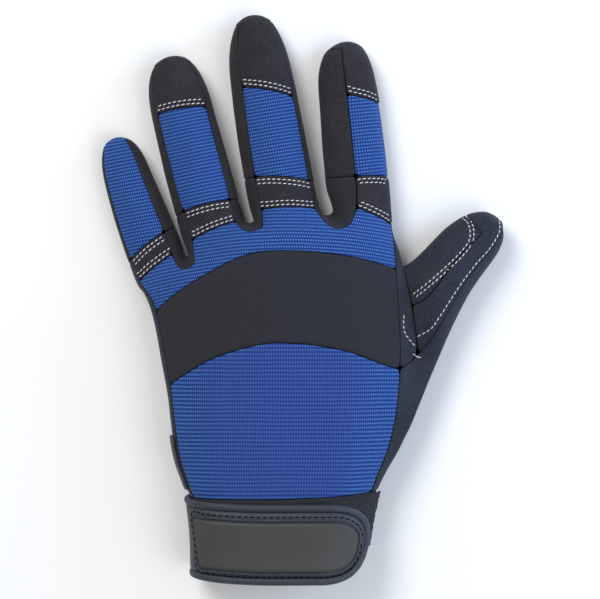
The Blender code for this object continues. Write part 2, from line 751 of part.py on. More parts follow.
def add_pad(wrist, collection):
    """The closure's pad, sewn on the cuff under the strap's rounded end."""
    grids = []
    for height in (1.5 * SEAM_GAP, 1.5 * SEAM_GAP + PAD_THICKNESS):
        grid = []
        for round_it in wrist.stations(0, PAD_LENGTH):
            y = STRAP_CENTRE + PAD_RISE
            taper = PAD_TAPER * round_it / PAD_LENGTH
            places = [y + PAD_WIDTH * share / 2 - taper * (1 + share) / 2 for share in SHEET_SHARES]
            grid.append([wrist.place(round_it, place, height) for place in places])
        grids.append(grid)
    bm = bmesh.new()
    lay_grid(bm, *grids)
    new_object("loop_pad", bm, "loop", collection)


def add_side_edge(skin, collection):
    """The bound edge of the wrist's slit, along the little-finger side."""
    tree = BVHTree.FromBMesh(skin)
    grids = []
    for height in (SEAM_GAP, SEAM_GAP + EDGE_THICKNESS):
        grid = []
        for i in range(8):
            y = between(EDGE_FROM, EDGE_TO, i / 7)
            line = []
            for j in range(3):
                z = PALM_DEPTH * 0.52 + EDGE_WIDTH * (j / 2 - 0.5)
                place, normal, index, distance = tree.ray_cast(Vector((-0.1, y, z)), Vector((1, 0, 0)))
                line.append(place + Vector((normal.x, 0, normal.z)).normalized() * height)
            grid.append(line)
        grids.append(grid)
    bm = bmesh.new()
    lay_grid(bm, *grids)
    new_object("side_edge", bm, "binding", collection)


def main():
    for old in list(bpy.data.objects):
        bpy.data.objects.remove(old)
    glove = bpy.data.collections.new("mechanic_glove")
    bpy.context.scene.collection.children.link(glove)
    skin = build_skin()
    for panel in PANELS:
        cut_panel(skin, panel, glove)
    hem, row = HAND_ROWS[0], HAND_ROWS[1]
    centre = (across_to_x((row.x_left + row.x_right) / 2), row.depth * PALM_DEPTH / 2 - FLOOR_SINK)
    hem_y = along_to_y(max(hem.mid, hem.left, hem.right)) + 2 * SEAM_GAP
    wrist = Wrist(skin, centre, hem_y, PAD_END, STRAP_CENTRE)
    add_strap(wrist, glove)
    add_pad(wrist, glove)
    add_side_edge(skin, glove)
    skin.free()


main()
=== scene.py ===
import math

import bmesh
import bpy
from mathutils import Matrix, Vector
from mathutils.bvhtree import BVHTree


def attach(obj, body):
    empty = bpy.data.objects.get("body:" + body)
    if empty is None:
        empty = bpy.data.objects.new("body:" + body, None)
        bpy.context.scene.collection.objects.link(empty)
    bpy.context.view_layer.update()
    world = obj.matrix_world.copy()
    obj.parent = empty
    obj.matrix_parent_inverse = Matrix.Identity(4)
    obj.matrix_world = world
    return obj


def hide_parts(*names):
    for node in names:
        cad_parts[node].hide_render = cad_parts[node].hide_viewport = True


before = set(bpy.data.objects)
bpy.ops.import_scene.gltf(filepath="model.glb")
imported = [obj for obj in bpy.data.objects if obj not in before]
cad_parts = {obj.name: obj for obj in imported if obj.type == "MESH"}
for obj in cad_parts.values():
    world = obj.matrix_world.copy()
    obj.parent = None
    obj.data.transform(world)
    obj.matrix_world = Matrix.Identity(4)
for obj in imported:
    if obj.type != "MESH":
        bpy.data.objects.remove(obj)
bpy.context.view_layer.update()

# The palm, the thumb and the sides of the fingers are black synthetic suede, about 1.4 mm thick.
# It is cut in panels, and each panel's edges are turned in and sewn, which leaves them rounded.
# The suede of the palm and the thumb is painted a little bluer than that of the fingers, as painted
# light for the cool light from the right that falls on them.
MM = 0.001
MERGE = 0.02 * MM
SHARP_TURN = math.radians(55)  # a panel's rim turns more sharply than this
EDGE_CREASE = 0.35
CRUMPLE = 0.5 * MM
CRUMPLE_SIZE = 22 * MM
SUEDE_GRAIN = 1500
SUEDE_PATCHES = 70
GRAIN_SHARE = 0.7
PATCHES_SHARE = 0.3
SUEDE_SPAN = (0.36, 0.66)  # the part of the mottling between the dark and the light colour
GRAIN_DEPTH = 0.12 * MM
SUEDE_SPECULAR = 0.25


def select_only(thing):
    bpy.ops.object.select_all(action="DESELECT")
    thing.select_set(True)
    bpy.context.view_layer.objects.active = thing


def apply_modifier(thing, kind, **settings):
    select_only(thing)
    bpy.ops.object.modifier_add(type=kind)
    modifier = thing.modifiers[-1]
    for setting, value in settings.items():
        setattr(modifier, setting, value)
    bpy.ops.object.modifier_apply(modifier=modifier.name)


def crease_rim(panel, crease):
    """Holds the edges where a panel turns sharply, so that they round off less."""
    work = bmesh.new()
    work.from_mesh(panel.data)
    layer = work.edges.layers.float.get("crease_edge") or work.edges.layers.float.new("crease_edge")
    for edge in work.edges:
        if len(edge.link_faces) == 2 and edge.calc_face_angle() > SHARP_TURN:
            edge[layer] = crease
    work.to_mesh(panel.data)
    work.free()


crumple_texture = bpy.data.textures.new("crumple", type="CLOUDS")
crumple_texture.cloud_type = "COLOR"
crumple_texture.noise_scale = CRUMPLE_SIZE
crumple_texture.noise_depth = 1


def crumple_cloth(panel):
    """Shifts the cloth a little to all sides, as it lies after it has been worn."""
    apply_modifier(
        panel, "DISPLACE", texture=crumple_texture, texture_coords="LOCAL",
        direction="RGB_TO_XYZ", strength=CRUMPLE, mid_level=0.5,
    )


def cloth_panel(node, levels=2, crease=EDGE_CREASE, crumpled=True):
    """One panel of cloth with soft rounded edges, cut to the shape of its solid."""
    panel = bpy.data.objects.new(node + "_cloth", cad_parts[node].data.copy())
    bpy.context.scene.collection.objects.link(panel)
    panel.data.materials.clear()
    select_only(panel)
    bpy.ops.object.mode_set(mode="EDIT")
    bpy.ops.mesh.select_all(action="SELECT")
    bpy.ops.mesh.remove_doubles(threshold=MERGE)
    bpy.ops.mesh.tris_convert_to_quads(face_threshold=0.7, shape_threshold=0.9)
    bpy.ops.mesh.select_all(action="DESELECT")
    bpy.ops.object.mode_set(mode="OBJECT")
    crease_rim(panel, crease)
    apply_modifier(panel, "SUBSURF", levels=levels, render_levels=levels)
    if crumpled:
        crumple_cloth(panel)
    bpy.ops.object.shade_smooth()
    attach(panel, "root")
    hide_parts(node)
    return panel


def start_material(name, colour, roughness):
    made = bpy.data.materials.new(name)
    made.use_nodes = True
    made.diffuse_color = (*colour, 1)
    shader = made.node_tree.nodes["Principled BSDF"]
    shader.inputs["Base Color"].default_value = (*colour, 1)
    shader.inputs["Roughness"].default_value = roughness
    return made, shader


def add_node(made, kind, inputs=(), **settings):
    """One shader node. An input is a number, a colour or another node's output."""
    node = made.node_tree.nodes.new(kind)
    for setting, value in settings.items():
        setattr(node, setting, value)
    for key, value in dict(inputs).items():
        if isinstance(value, bpy.types.NodeSocket):
            made.node_tree.links.new(value, node.inputs[key])
        else:
            node.inputs[key].default_value = value
    return node


def maths(made, operation, first, second=0.0):
    return add_node(made, "ShaderNodeMath", {0: first, 1: second}, operation=operation).outputs[0]


def scaled(made, value, factor, offset=0.0):
    """A value times a factor, plus an offset."""
    product = maths(made, "MULTIPLY", value, factor)
    return maths(made, "ADD", product, offset) if offset else product


def noise(made, scale, detail, roughness=0.5):
    """Even mottling, from the piece's own coordinates."""
    place = add_node(made, "ShaderNodeTexCoord").outputs["Object"]
    inputs = {"Vector": place, "Scale": scale, "Detail": detail, "Roughness": roughness}
    return add_node(made, "ShaderNodeTexNoise", inputs).outputs["Fac"]


def blend_colours(made, share, dark, light):
    mix = add_node(made, "ShaderNodeMix", data_type="RGBA")
    sockets = [s for s in mix.inputs if s.enabled]
    for socket, value in zip(sockets, (share, dark, light)):
        if isinstance(value, bpy.types.NodeSocket):
            made.node_tree.links.new(value, socket)
        else:
            socket.default_value = value if isinstance(value, float) else (*value, 1)
    return next(s for s in mix.outputs if s.enabled)


def ramp(made, value, low, high):
    """Stretches the span from low to high to 0 to 1."""
    inputs = {"Value": value, "From Min": low, "From Max": high}
    return add_node(made, "ShaderNodeMapRange", inputs, clamp=True).outputs["Result"]


def paint(made, shader, tone):
    made.node_tree.links.new(tone, shader.inputs["Base Color"])


def bump(made, shader, height, distance):
    node = add_node(made, "ShaderNodeBump", {"Height": height, "Distance": distance})
    made.node_tree.links.new(node.outputs["Normal"], shader.inputs["Normal"])


def sheen(shader, weight, roughness, tint):
    shader.inputs["Sheen Weight"].default_value = weight
    shader.inputs["Sheen Roughness"].default_value = roughness
    shader.inputs["Sheen Tint"].default_value = (*tint, 1)


def suede_material(name, dark, light):
    made, shader = start_material(name, light, roughness=0.95)
    grain = noise(made, SUEDE_GRAIN, detail=3, roughness=0.65)
    patches = noise(made, SUEDE_PATCHES, detail=3, roughness=0.6)
    grains, clouds = scaled(made, grain, GRAIN_SHARE), scaled(made, patches, PATCHES_SHARE)
    mottle = ramp(made, maths(made, "ADD", grains, clouds), *SUEDE_SPAN)
    paint(made, shader, blend_colours(made, mottle, dark, light))
    bump(made, shader, grain, GRAIN_DEPTH)
    sheen(shader, weight=0.12, roughness=0.45, tint=(0.75, 0.70, 0.72))
    shader.inputs["Specular IOR Level"].default_value = SUEDE_SPECULAR
    return made


suede = suede_material("suede", dark=(0.011, 0.010, 0.013), light=(0.034, 0.030, 0.037))
# Painted light: a bluer copy of the suede, for the cool light from the right on the palm and the
# thumb.
rim_lit_suede = suede_material("rim_lit_suede", dark=(0.011, 0.013, 0.021), light=(0.034, 0.038, 0.056))
SUEDE_PANELS = ["palm", "thumb_inner", "thumb_patch", "thumb_outer"]
SUEDE_PANELS += [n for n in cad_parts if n.startswith(("finger_left", "finger_right"))]
for node in SUEDE_PANELS:
    panel = cloth_panel(node)
    panel.data.materials.append(rim_lit_suede if node.startswith(("palm", "thumb")) else suede)

# The knuckle band, the cuff and the pieces between the fingers are thin black stretch cloth.
# It has a fine diagonal weave, and it is sewn to the panels on either side.
STRETCH_DARK = (0.012, 0.012, 0.016)
STRETCH_LIGHT = (0.032, 0.032, 0.040)
TWILL_PITCH = 0.80 * MM
TWILL_SLANT = 0.55
TWILL_SHARE = 0.4
FIBRE_SHARE = 0.6
STRETCH_FIBRE = 1900
WEAVE_DEPTH = 0.07 * MM
CLOTH_SPECULAR = 0.2
stretch, stretch_shader = start_material("stretch", (0.020, 0.020, 0.022), roughness=0.85)
place = add_node(stretch, "ShaderNodeTexCoord").outputs["Object"]
axes = add_node(stretch, "ShaderNodeSeparateXYZ", {0: place})
slanted = scaled(stretch, axes.outputs["X"], TWILL_SLANT)
diagonal = maths(stretch, "ADD", slanted, axes.outputs["Y"])
turns = scaled(stretch, diagonal, 2 * math.pi / TWILL_PITCH)
twill = scaled(stretch, maths(stretch, "SINE", turns), 0.5, 0.5)
fibre = noise(stretch, STRETCH_FIBRE, detail=2, roughness=0.6)
lines, fibres = scaled(stretch, twill, TWILL_SHARE), scaled(stretch, fibre, FIBRE_SHARE)
weave = maths(stretch, "ADD", lines, fibres)
tone = blend_colours(stretch, ramp(stretch, weave, 0.25, 0.75), STRETCH_DARK, STRETCH_LIGHT)
paint(stretch, stretch_shader, tone)
bump(stretch, stretch_shader, weave, WEAVE_DEPTH)
sheen(stretch_shader, weight=0.10, roughness=0.4, tint=(0.70, 0.75, 0.85))
stretch_shader.inputs["Specular IOR Level"].default_value = CLOTH_SPECULAR

for node in ["knuckle_band", "cuff"] + [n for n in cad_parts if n.startswith("gusset")]:
    panel = cloth_panel(node)
    panel.data.materials.append(stretch)

# The back of the hand and of each finger is blue stretch knit with raised ribs across it.
# Small knots stand in line along each rib, and the ribs follow each panel's own direction.
# The knit is cut in panels too, and sewn under the suede's edges.
# Its grooves are painted darker and its knots' tops lighter, as painted shade and painted highlight
# over the raised ribs.
# Where the knit faces straight up, it is painted a darker violet, as painted shade.
RIB_PITCH = 1.72  # this and the next three are in mm of cloth
FINGER_RIB_PITCH = 1.46
KNOT_PITCH = 1.12
KNOT_DRIFT = 0.4  # how far the lines of knots wander
DRIFT_SCALE = 140
KNUCKLE_BOW = 0.0022  # how the ribs below the fingers bow, for each mm squared
RIB_HEIGHT = 0.22 * MM
RIB_FULLNESS = 0.8  # under 1, the ribs are fuller than the grooves
RIB_MIDDLE = 0.6  # how far up a rib, of 1, the panel's own surface lies
CUTS_A_RIB = 4
HAND_RADIUS = 45 * MM
FINGER_RADIUS = 12 * MM
SIDE_SPAN = 6 * MM  # from a panel's middle to where its map takes in the drop in full
SIDE_STRETCH = 0.8
FACES_UP = 0.4  # the least height of the normal where cloth still faces up
KNOT_SHARE = 0.75  # of the height of a rib; the rest is the same all along it
KNIT_FIBRE = 2200
KNIT_DEPTH = 0.13 * MM
# Painted shade and painted highlight: the grooves are painted darker and the knots' tops lighter
# than the ribs.
GROOVE_PAINTED_SHADE = (0.010, 0.030, 0.158)
RIB = (0.013, 0.062, 0.265)
KNOT_PAINTED_HIGHLIGHT = (0.078, 0.222, 0.555)
# Painted shade: the knit is painted a darker violet where it faces straight up, for the light that
# its sheen catches only on the sloping sides.
PAINTED_TOP_SHADE = (0.030, 0.045, 0.230)  # where the cloth faces straight up


def knit_material(name, rib_pitch, top_shade_strength):
    made, shader = start_material(name, (0.020, 0.085, 0.420), roughness=0.8)
    cloth_map = add_node(made, "ShaderNodeUVMap", uv_map="cloth").outputs["UV"]
    axes = add_node(made, "ShaderNodeSeparateXYZ", {0: cloth_map})
    wander = maths(made, "SUBTRACT", noise(made, DRIFT_SCALE, detail=2), 0.5)
    across = maths(made, "ADD", axes.outputs["X"], scaled(made, wander, KNOT_DRIFT))
    turn = scaled(made, axes.outputs["Y"], math.pi / rib_pitch)
    wave = maths(made, "ABSOLUTE", maths(made, "SINE", turn))
    rib = maths(made, "POWER", wave, RIB_FULLNESS)
    step = scaled(made, across, 2 * math.pi / KNOT_PITCH)
    knot = scaled(made, maths(made, "COSINE", step), 0.5, 0.5)
    raised = maths(made, "MULTIPLY", rib, scaled(made, knot, KNOT_SHARE, 1 - KNOT_SHARE))
    top = maths(made, "MULTIPLY", maths(made, "POWER", rib, 3.0), knot)
    # Painted shade in the grooves, then a painted highlight on the knots' tops.
    groove_shaded = blend_colours(made, ramp(made, raised, 0.15, 0.75), GROOVE_PAINTED_SHADE, RIB)
    knot_highlighted = blend_colours(made, ramp(made, top, 0.25, 0.90), groove_shaded, KNOT_PAINTED_HIGHLIGHT)
    # Painted shade: the colour turns towards the darker violet where the surface's normal points
    # straight up.
    facing = add_node(made, "ShaderNodeNewGeometry").outputs["Normal"]
    up = add_node(made, "ShaderNodeSeparateXYZ", {0: facing}).outputs["Z"]
    top_shade_share = scaled(made, ramp(made, up, 0.90, 1.0), top_shade_strength)
    paint(made, shader, blend_colours(made, top_shade_share, knot_highlighted, PAINTED_TOP_SHADE))
    fibres = scaled(made, noise(made, KNIT_FIBRE, detail=2, roughness=0.6), 0.5)
    bump(made, shader, maths(made, "ADD", raised, fibres), KNIT_DEPTH)
    sheen(shader, weight=0.25, roughness=0.45, tint=(0.20, 0.45, 1.0))
    shader.inputs["Specular IOR Level"].default_value = CLOTH_SPECULAR
    return made


def lay_cloth_map(panel, along, bow):
    """Gives a panel the cloth's own coordinates in mm: across it and along it."""
    across = Vector((along.y, -along.x, 0))
    points = [v.co for v in panel.data.vertices]
    middle = sum((p.dot(across) for p in points)) / len(points)
    top = max(p.z for p in points)
    layer = panel.data.uv_layers.new(name="cloth")
    for loop in panel.data.loops:
        point = points[loop.vertex_index]
        aside = point.dot(across) - middle
        drop = math.copysign(top - point.z, aside) * min(1, abs(aside) / SIDE_SPAN)
        u = (aside + SIDE_STRETCH * drop) / MM
        v = point.dot(along) / MM + bow * (point.x / MM) ** 2
        layer.data[loop.index].uv = (u, v)


def raise_ribs(panel, along, pitch, radius, bow):
    """Cuts the panel along its ribs and grooves, and lifts the ribs away from the hand."""
    across = Vector((along.y, -along.x, 0))
    work = bmesh.new()
    work.from_mesh(panel.data)
    for vert in work.verts:
        u, v = vert.co.dot(across), vert.co.dot(along)
        vert.co = (u, v + bow / MM * u * u, vert.co.z)
    step = pitch * MM / CUTS_A_RIB
    low, high = min(v.co.y for v in work.verts), max(v.co.y for v in work.verts)
    for k in range(math.ceil(low / step), math.floor(high / step) + 1):
        bmesh.ops.bisect_plane(
            work, geom=[*work.verts, *work.edges, *work.faces], dist=0.1 * MERGE,
            plane_co=(0, k * step, 0), plane_no=(0, 1, 0),
        )
    work.normal_update()
    facing_up = [v for v in work.verts if v.normal.z > FACES_UP]
    top = [(v.co.x - v.normal.x * radius, v.co.z - v.normal.z * radius) for v in facing_up]
    middle = Vector((sum(x for x, z in top), 0, sum(z for x, z in top))) / len(top)
    for vert in work.verts:
        u, v = vert.co.x, vert.co.y
        away = (Vector((u, 0, vert.co.z)) - middle).normalized()
        height = abs(math.sin(math.pi * v / (pitch * MM))) ** RIB_FULLNESS - RIB_MIDDLE
        place = Vector((u, 0, vert.co.z)) + away * RIB_HEIGHT * height
        level = Vector((0, 0, place.z))
        vert.co = across * place.x + along * (v - bow / MM * u * u) + level
    work.to_mesh(panel.data)
    work.free()


def knit_panel(node, along, pitch, material, radius, bow=0.0):
    """A panel of ribbed knit, with its ribs across the given direction."""
    panel = cloth_panel(node, crumpled=False)
    lay_cloth_map(panel, along, bow)
    raise_ribs(panel, along, pitch, radius, bow)
    crumple_cloth(panel)
    bpy.ops.object.shade_smooth()
    panel.data.materials.append(material)


# The back of the hand takes the painted top shade, and the fingers take none.
hand_knit = knit_material("hand_knit", RIB_PITCH, top_shade_strength=0.55)
finger_knit = knit_material("finger_knit", FINGER_RIB_PITCH, top_shade_strength=0.0)
FORWARD = Vector((0, 1, 0))
knit_panel("back_lower", FORWARD, RIB_PITCH, hand_knit, HAND_RADIUS)
knit_panel("back_upper", FORWARD, FINGER_RIB_PITCH, finger_knit, HAND_RADIUS, KNUCKLE_BOW)
FINGERS = ("little", "ring", "middle", "index")
FEWEST, END_PARTS = 4, 8  # an eighth of a finger back's points mark its end, or four at least
finger_ways = {}
for finger in FINGERS:
    back = "finger_back_" + finger
    points = (v.co.copy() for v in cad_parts[back].data.vertices)
    ends = sorted(points, key=lambda p: p.y)
    few = max(FEWEST, len(ends) // END_PARTS)
    way = sum(ends[-few:], Vector()) / few - sum(ends[:few], Vector()) / few
    finger_ways[finger] = Vector((way.x, way.y, 0)).normalized()
    knit_panel(back, finger_ways[finger], FINGER_RIB_PITCH, finger_knit, FINGER_RADIUS)

# Tabs of the same suede cross the root of each finger, and caps of it cover three fingertips.
# They lie on the knit, and their turned edges are sewn down.
for node in [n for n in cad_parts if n.startswith(("knuckle_tab", "fingertip"))]:
    panel = cloth_panel(node)
    panel.data.materials.append(suede)

# White polyester thread holds the tabs and caps, in double rows of lockstitch near their edges.
# One stitch is a short rounded length of thread, which dips into the suede at both ends.
STITCH_LENGTH = 1.70 * MM
STITCH_STEP = 2.20 * MM
STITCH_SLANT = math.radians(9)
THREAD = 0.40 * MM
THREAD_LIFT = 0.06 * MM  # from the cloth to the thread's middle
THREAD_TWIST = 2600
TWIST_DEPTH = 0.05 * MM
THREAD_DARK = (0.52, 0.51, 0.50)
THREAD_LIGHT = (0.86, 0.86, 0.84)
STITCH_FULLNESS = 0.8
STITCH_DIP = 0.16
STITCH_FLATNESS = 0.85
ROW_INSETS = (1.10 * MM, 2.75 * MM)
EDGE_STEP = 0.4 * MM  # between two places measured along a panel's edge
EDGE_START = 0.3 * MM
EDGE_SEARCH = 0.15 * MM
STEEPEST_EDGE = 1.8  # where an edge climbs more than this, it turns down the panel's side
ROUNDED_CORNER = 4  # edge steps left out at a panel's corners
END_STRETCH = 6  # edge steps that give the direction in which a row runs on
RUN_ON = 8  # edge steps that a row may run on, as far as the panel goes
HIGHEST = 60 * MM  # well above the glove
thread, thread_shader = start_material("thread", (0.78, 0.77, 0.75), roughness=0.75)
twist = noise(thread, THREAD_TWIST, detail=2, roughness=0.6)
lit = ramp(thread, twist, 0.3, 0.7)
paint(thread, thread_shader, blend_colours(thread, lit, THREAD_DARK, THREAD_LIGHT))
bump(thread, thread_shader, twist, TWIST_DEPTH)

bpy.ops.object.select_all(action="DESELECT")
bpy.ops.mesh.primitive_uv_sphere_add(segments=8, ring_count=6, radius=THREAD / 2)
one_stitch = bpy.context.active_object
bpy.ops.object.mode_set(mode="EDIT")
bpy.ops.mesh.select_all(action="SELECT")
bpy.ops.transform.rotate(value=math.pi / 2, orient_axis="Y", center_override=(0, 0, 0))
bpy.ops.mesh.select_all(action="DESELECT")
bpy.ops.object.mode_set(mode="OBJECT")
half = STITCH_LENGTH / 2 - THREAD / 2
for vertex in one_stitch.data.vertices:
    if abs(vertex.co.x) > 0.1 * THREAD:
        vertex.co.x += math.copysign(half * STITCH_FULLNESS, vertex.co.x)
    vertex.co.z -= STITCH_DIP * THREAD * (vertex.co.x / half) ** 2
    vertex.co.z *= STITCH_FLATNESS
bpy.ops.object.shade_smooth()


def tree_of(*things):
    """The surfaces of these pieces, to lay other pieces on."""
    points, faces = [], []
    for thing in things:
        start = len(points)
        points += [v.co.copy() for v in thing.data.vertices]
        faces += [[start + k for k in p.vertices] for p in thing.data.polygons]
    return BVHTree.FromPolygons(points, faces)


def drop_on(tree, x, y, flattest=0.12):
    """The point of a surface straight below a place, and the surface's direction there."""
    point, normal, _, _ = tree.ray_cast(Vector((x, y, HIGHEST)), Vector((0, 0, -1)))
    return (point, normal) if point is not None and normal.z > flattest else None


def sew(name, rows, material=thread, step=STITCH_STEP, size=1.0, lift=THREAD_LIFT):
    """Copies the stitch along rows of surface points, and joins them as one piece."""
    work = bmesh.new()
    for row in rows:
        run = [0.0]
        for first, second in zip(row, row[1:]):
            run.append(run[-1] + (second[0] - first[0]).length)
        count = int((run[-1] + 0.3 * step) / step)
        if count < 1:
            continue
        start = (run[-1] - (count - 1) * step) / 2
        at = 0
        for k in range(count):
            goal = start + k * step
            while at < len(run) - 2 and run[at + 1] < goal:
                at += 1
            share = (goal - run[at]) / max(run[at + 1] - run[at], 1e-9)
            centre = row[at][0].lerp(row[at + 1][0], share)
            up = row[at][1].lerp(row[at + 1][1], share).normalized()
            way = (row[at + 1][0] - row[at][0]).normalized()
            side = up.cross(way).normalized()
            way = Matrix.Rotation(STITCH_SLANT, 3, up) @ side.cross(up)
            side = up.cross(way)
            turn = Matrix((way, side, up)).transposed().to_4x4()
            copy = one_stitch.data.copy()
            copy.transform(Matrix.Translation(centre + up * lift) @ turn @ Matrix.Scale(size, 4))
            work.from_mesh(copy)
            bpy.data.meshes.remove(copy)
    mesh = bpy.data.meshes.new(name)
    work.to_mesh(mesh)
    work.free()
    sewn = bpy.data.objects.new(name, mesh)
    bpy.context.scene.collection.objects.link(sewn)
    mesh.materials.append(material)
    for polygon in mesh.polygons:
        polygon.use_smooth = True
    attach(sewn, "root")


def without_sides(edge, along):
    """Leaves out the ends of an edge that turn up or down a panel's sides."""
    low, high = ROUNDED_CORNER, len(edge) - 1 - ROUNDED_CORNER
    for k in range(len(edge) // 2, low, -1):
        if abs((edge[k] - edge[k - 1]).dot(along)) > STEEPEST_EDGE * EDGE_STEP:
            low = k
            break
    for k in range(len(edge) // 2, high):
        if abs((edge[k + 1] - edge[k]).dot(along)) > STEEPEST_EDGE * EDGE_STEP:
            high = k
            break
    return edge[low:high + 1]


def smooth_line(points, passes=6):
    """Evens out the small steps of a line, and keeps its ends."""
    line = [p.copy() for p in points]
    for _ in range(passes):
        line[1:-1] = [(a + b * 2 + c) / 4 for a, b, c in zip(line, line[1:], line[2:])]
    return line


def panel_edge(panel, along, upper):
    """A panel's upper or lower edge as seen from above, from side to side."""
    tree = tree_of(panel)
    across = Vector((along.y, -along.x, 0))
    us = [v.co.dot(across) for v in panel.data.vertices]
    vs = [v.co.dot(along) for v in panel.data.vertices]
    edge = []
    u = min(us) + EDGE_START
    while u < max(us):
        hits = []
        v = min(vs)
        while v < max(vs):
            place = across * u + along * v
            if drop_on(tree, place.x, place.y):
                hits.append(v)
                if not upper:
                    break
            v += EDGE_SEARCH
        if hits:
            edge.append(across * u + along * (hits[-1] if upper else hits[0]))
        u += EDGE_STEP
    return smooth_line(without_sides(edge, along))


def row_beside(panel, edge, along, inset, upper):
    """A sewing row on the panel, at an inset from one of its edges, out to the panel's sides."""
    tree = tree_of(panel)
    start = (edge[0] - edge[END_STRETCH]).normalized() * EDGE_STEP
    end = (edge[-1] - edge[-1 - END_STRETCH]).normalized() * EDGE_STEP
    before = [edge[0] + start * k for k in range(RUN_ON, 0, -1)]
    after = [edge[-1] + end * k for k in range(1, RUN_ON + 1)]
    edge = before + edge + after
    row = []
    for k in range(1, len(edge) - 1):
        way = edge[k + 1] - edge[k - 1]
        normal = Vector((-way.y, way.x, 0)).normalized()
        if (normal.dot(along) > 0) == upper:
            normal = -normal
        place = edge[k] + normal * inset
        row.append(drop_on(tree, place.x, place.y, flattest=FACES_UP))
    return [hit for hit in row if hit]


for finger in FINGERS:
    along = finger_ways[finger]
    tab = bpy.data.objects["knuckle_tab_" + finger + "_cloth"]
    rows = []
    for upper in (False, True):
        edge = panel_edge(tab, along, upper)
        rows += [row_beside(tab, edge, along, inset, upper) for inset in ROW_INSETS]
    sew("tab_stitching_" + finger, rows)
    if finger != "little":
        cap = bpy.data.objects["fingertip_" + finger + "_cloth"]
        edge = panel_edge(cap, along, upper=False)
        rows = [row_beside(cap, edge, along, inset, False) for inset in ROW_INSETS]
        sew("cap_stitching_" + finger, rows)

# The thumb's panels are sewn with the same thread, in a double row beside the crotch and a
# single row down the thumb's outer side. One more row holds the palm's edge, and ends in a tack.
THUMB_ROWS = (  # places in mm, across the hand and along it
    ((73.9, 78.9), (76.8, 75.7), (77.8, 71.0), (76.8, 66.2), (71.8, 60.0), (64.9, 53.5),
     (58.2, 47.7), (53.0, 43.6)),
    ((88.9, 77.4), (88.7, 71.5), (84.7, 64.5), (78.9, 58.0), (73.0, 50.3), (68.2, 43.2),
     (62.9, 34.9), (59.4, 30.2), (53.5, 26.7)),
)
EDGE_ROW = ((48.2, 36.5), (48.0, 32.0), (48.9, 28.0), (53.0, 22.8))
TACK = ((52.3, 19.6), (53.6, 18.6), (55.2, 18.1))
THUMB_ROW_SPACING = 1.6 * MM
POINT_SPACING = 0.5 * MM
TACK_SPACING = 0.2 * MM
TACK_STEP = 1.0 * MM


def curve_through(points, spacing=POINT_SPACING):
    """A smooth line through the listed points, in steps of about the spacing."""
    ends = [2 * points[0] - points[1]] + list(points) + [2 * points[-1] - points[-2]]
    line = []
    for a, b, c, d in zip(ends, ends[1:], ends[2:], ends[3:]):
        steps = max(2, int((c - b).length / spacing))
        for k in range(steps):
            t = k / steps
            line.append(0.5 * ((2 * b) + (c - a) * t + (2 * a - 5 * b + 4 * c - d) * t * t
                               + (3 * b - a - 3 * c + d) * t * t * t))
    line.append(points[-1].copy())
    return line


def row_on(tree, places, spacing=POINT_SPACING, aside=0.0):
    """The surface points below a listed line, or below one beside it."""
    line = curve_through([Vector((x * MM, y * MM, 0)) for x, y in places], spacing)
    hits = []
    for k, point in enumerate(line):
        way = (line[min(k + 1, len(line) - 1)] - line[max(k - 1, 0)]).normalized()
        hits.append(drop_on(tree, point.x + way.y * aside, point.y - way.x * aside))
    return [h for h in hits if h]


THUMB_PANELS = ("thumb_patch", "thumb_outer", "thumb_inner", "palm")
thumb_tree = tree_of(*(bpy.data.objects[n + "_cloth"] for n in THUMB_PANELS))
thumb_rows = [row_on(thumb_tree, row) for row in THUMB_ROWS]
thumb_rows.append(row_on(thumb_tree, THUMB_ROWS[0], aside=THUMB_ROW_SPACING))
sew("thumb_stitching", thumb_rows)
sew("palm_edge_stitching", [row_on(thumb_tree, EDGE_ROW)])
sew("thumb_tack", [row_on(thumb_tree, TACK, TACK_SPACING)], step=TACK_STEP, size=0.9)

# The wrist strap is a stiff band of dark cloth, edged with smooth tape that is folded over it.
# The same tape edges the little-finger side of the wrist.
BINDING_DARK = (0.012, 0.016, 0.022)
BINDING_LIGHT = (0.034, 0.042, 0.057)
BINDING_FIBRE = 1300
BINDING_DEPTH = 0.06 * MM
BAND_SWELL = 0.5 * MM  # the band runs on inside the folded tape
BAND_CREASE = 0.6
TAPE_CREASE = 0.2
binding, binding_shader = start_material("binding", (0.020, 0.024, 0.031), roughness=0.6)
fibre = noise(binding, BINDING_FIBRE, detail=3, roughness=0.6)
tone = blend_colours(binding, ramp(binding, fibre, 0.3, 0.7), BINDING_DARK, BINDING_LIGHT)
paint(binding, binding_shader, tone)
bump(binding, binding_shader, fibre, BINDING_DEPTH)
sheen(binding_shader, weight=0.08, roughness=0.4, tint=(0.6, 0.75, 1.0))

for node in ("strap_body", "strap_binding", "side_edge"):
    crease = BAND_CREASE if node == "strap_body" else TAPE_CREASE
    panel = cloth_panel(node, crease=crease, crumpled=False)
    if node == "strap_body":
        apply_modifier(panel, "DISPLACE", strength=BAND_SWELL, mid_level=0.0)
    panel.data.materials.append(binding)

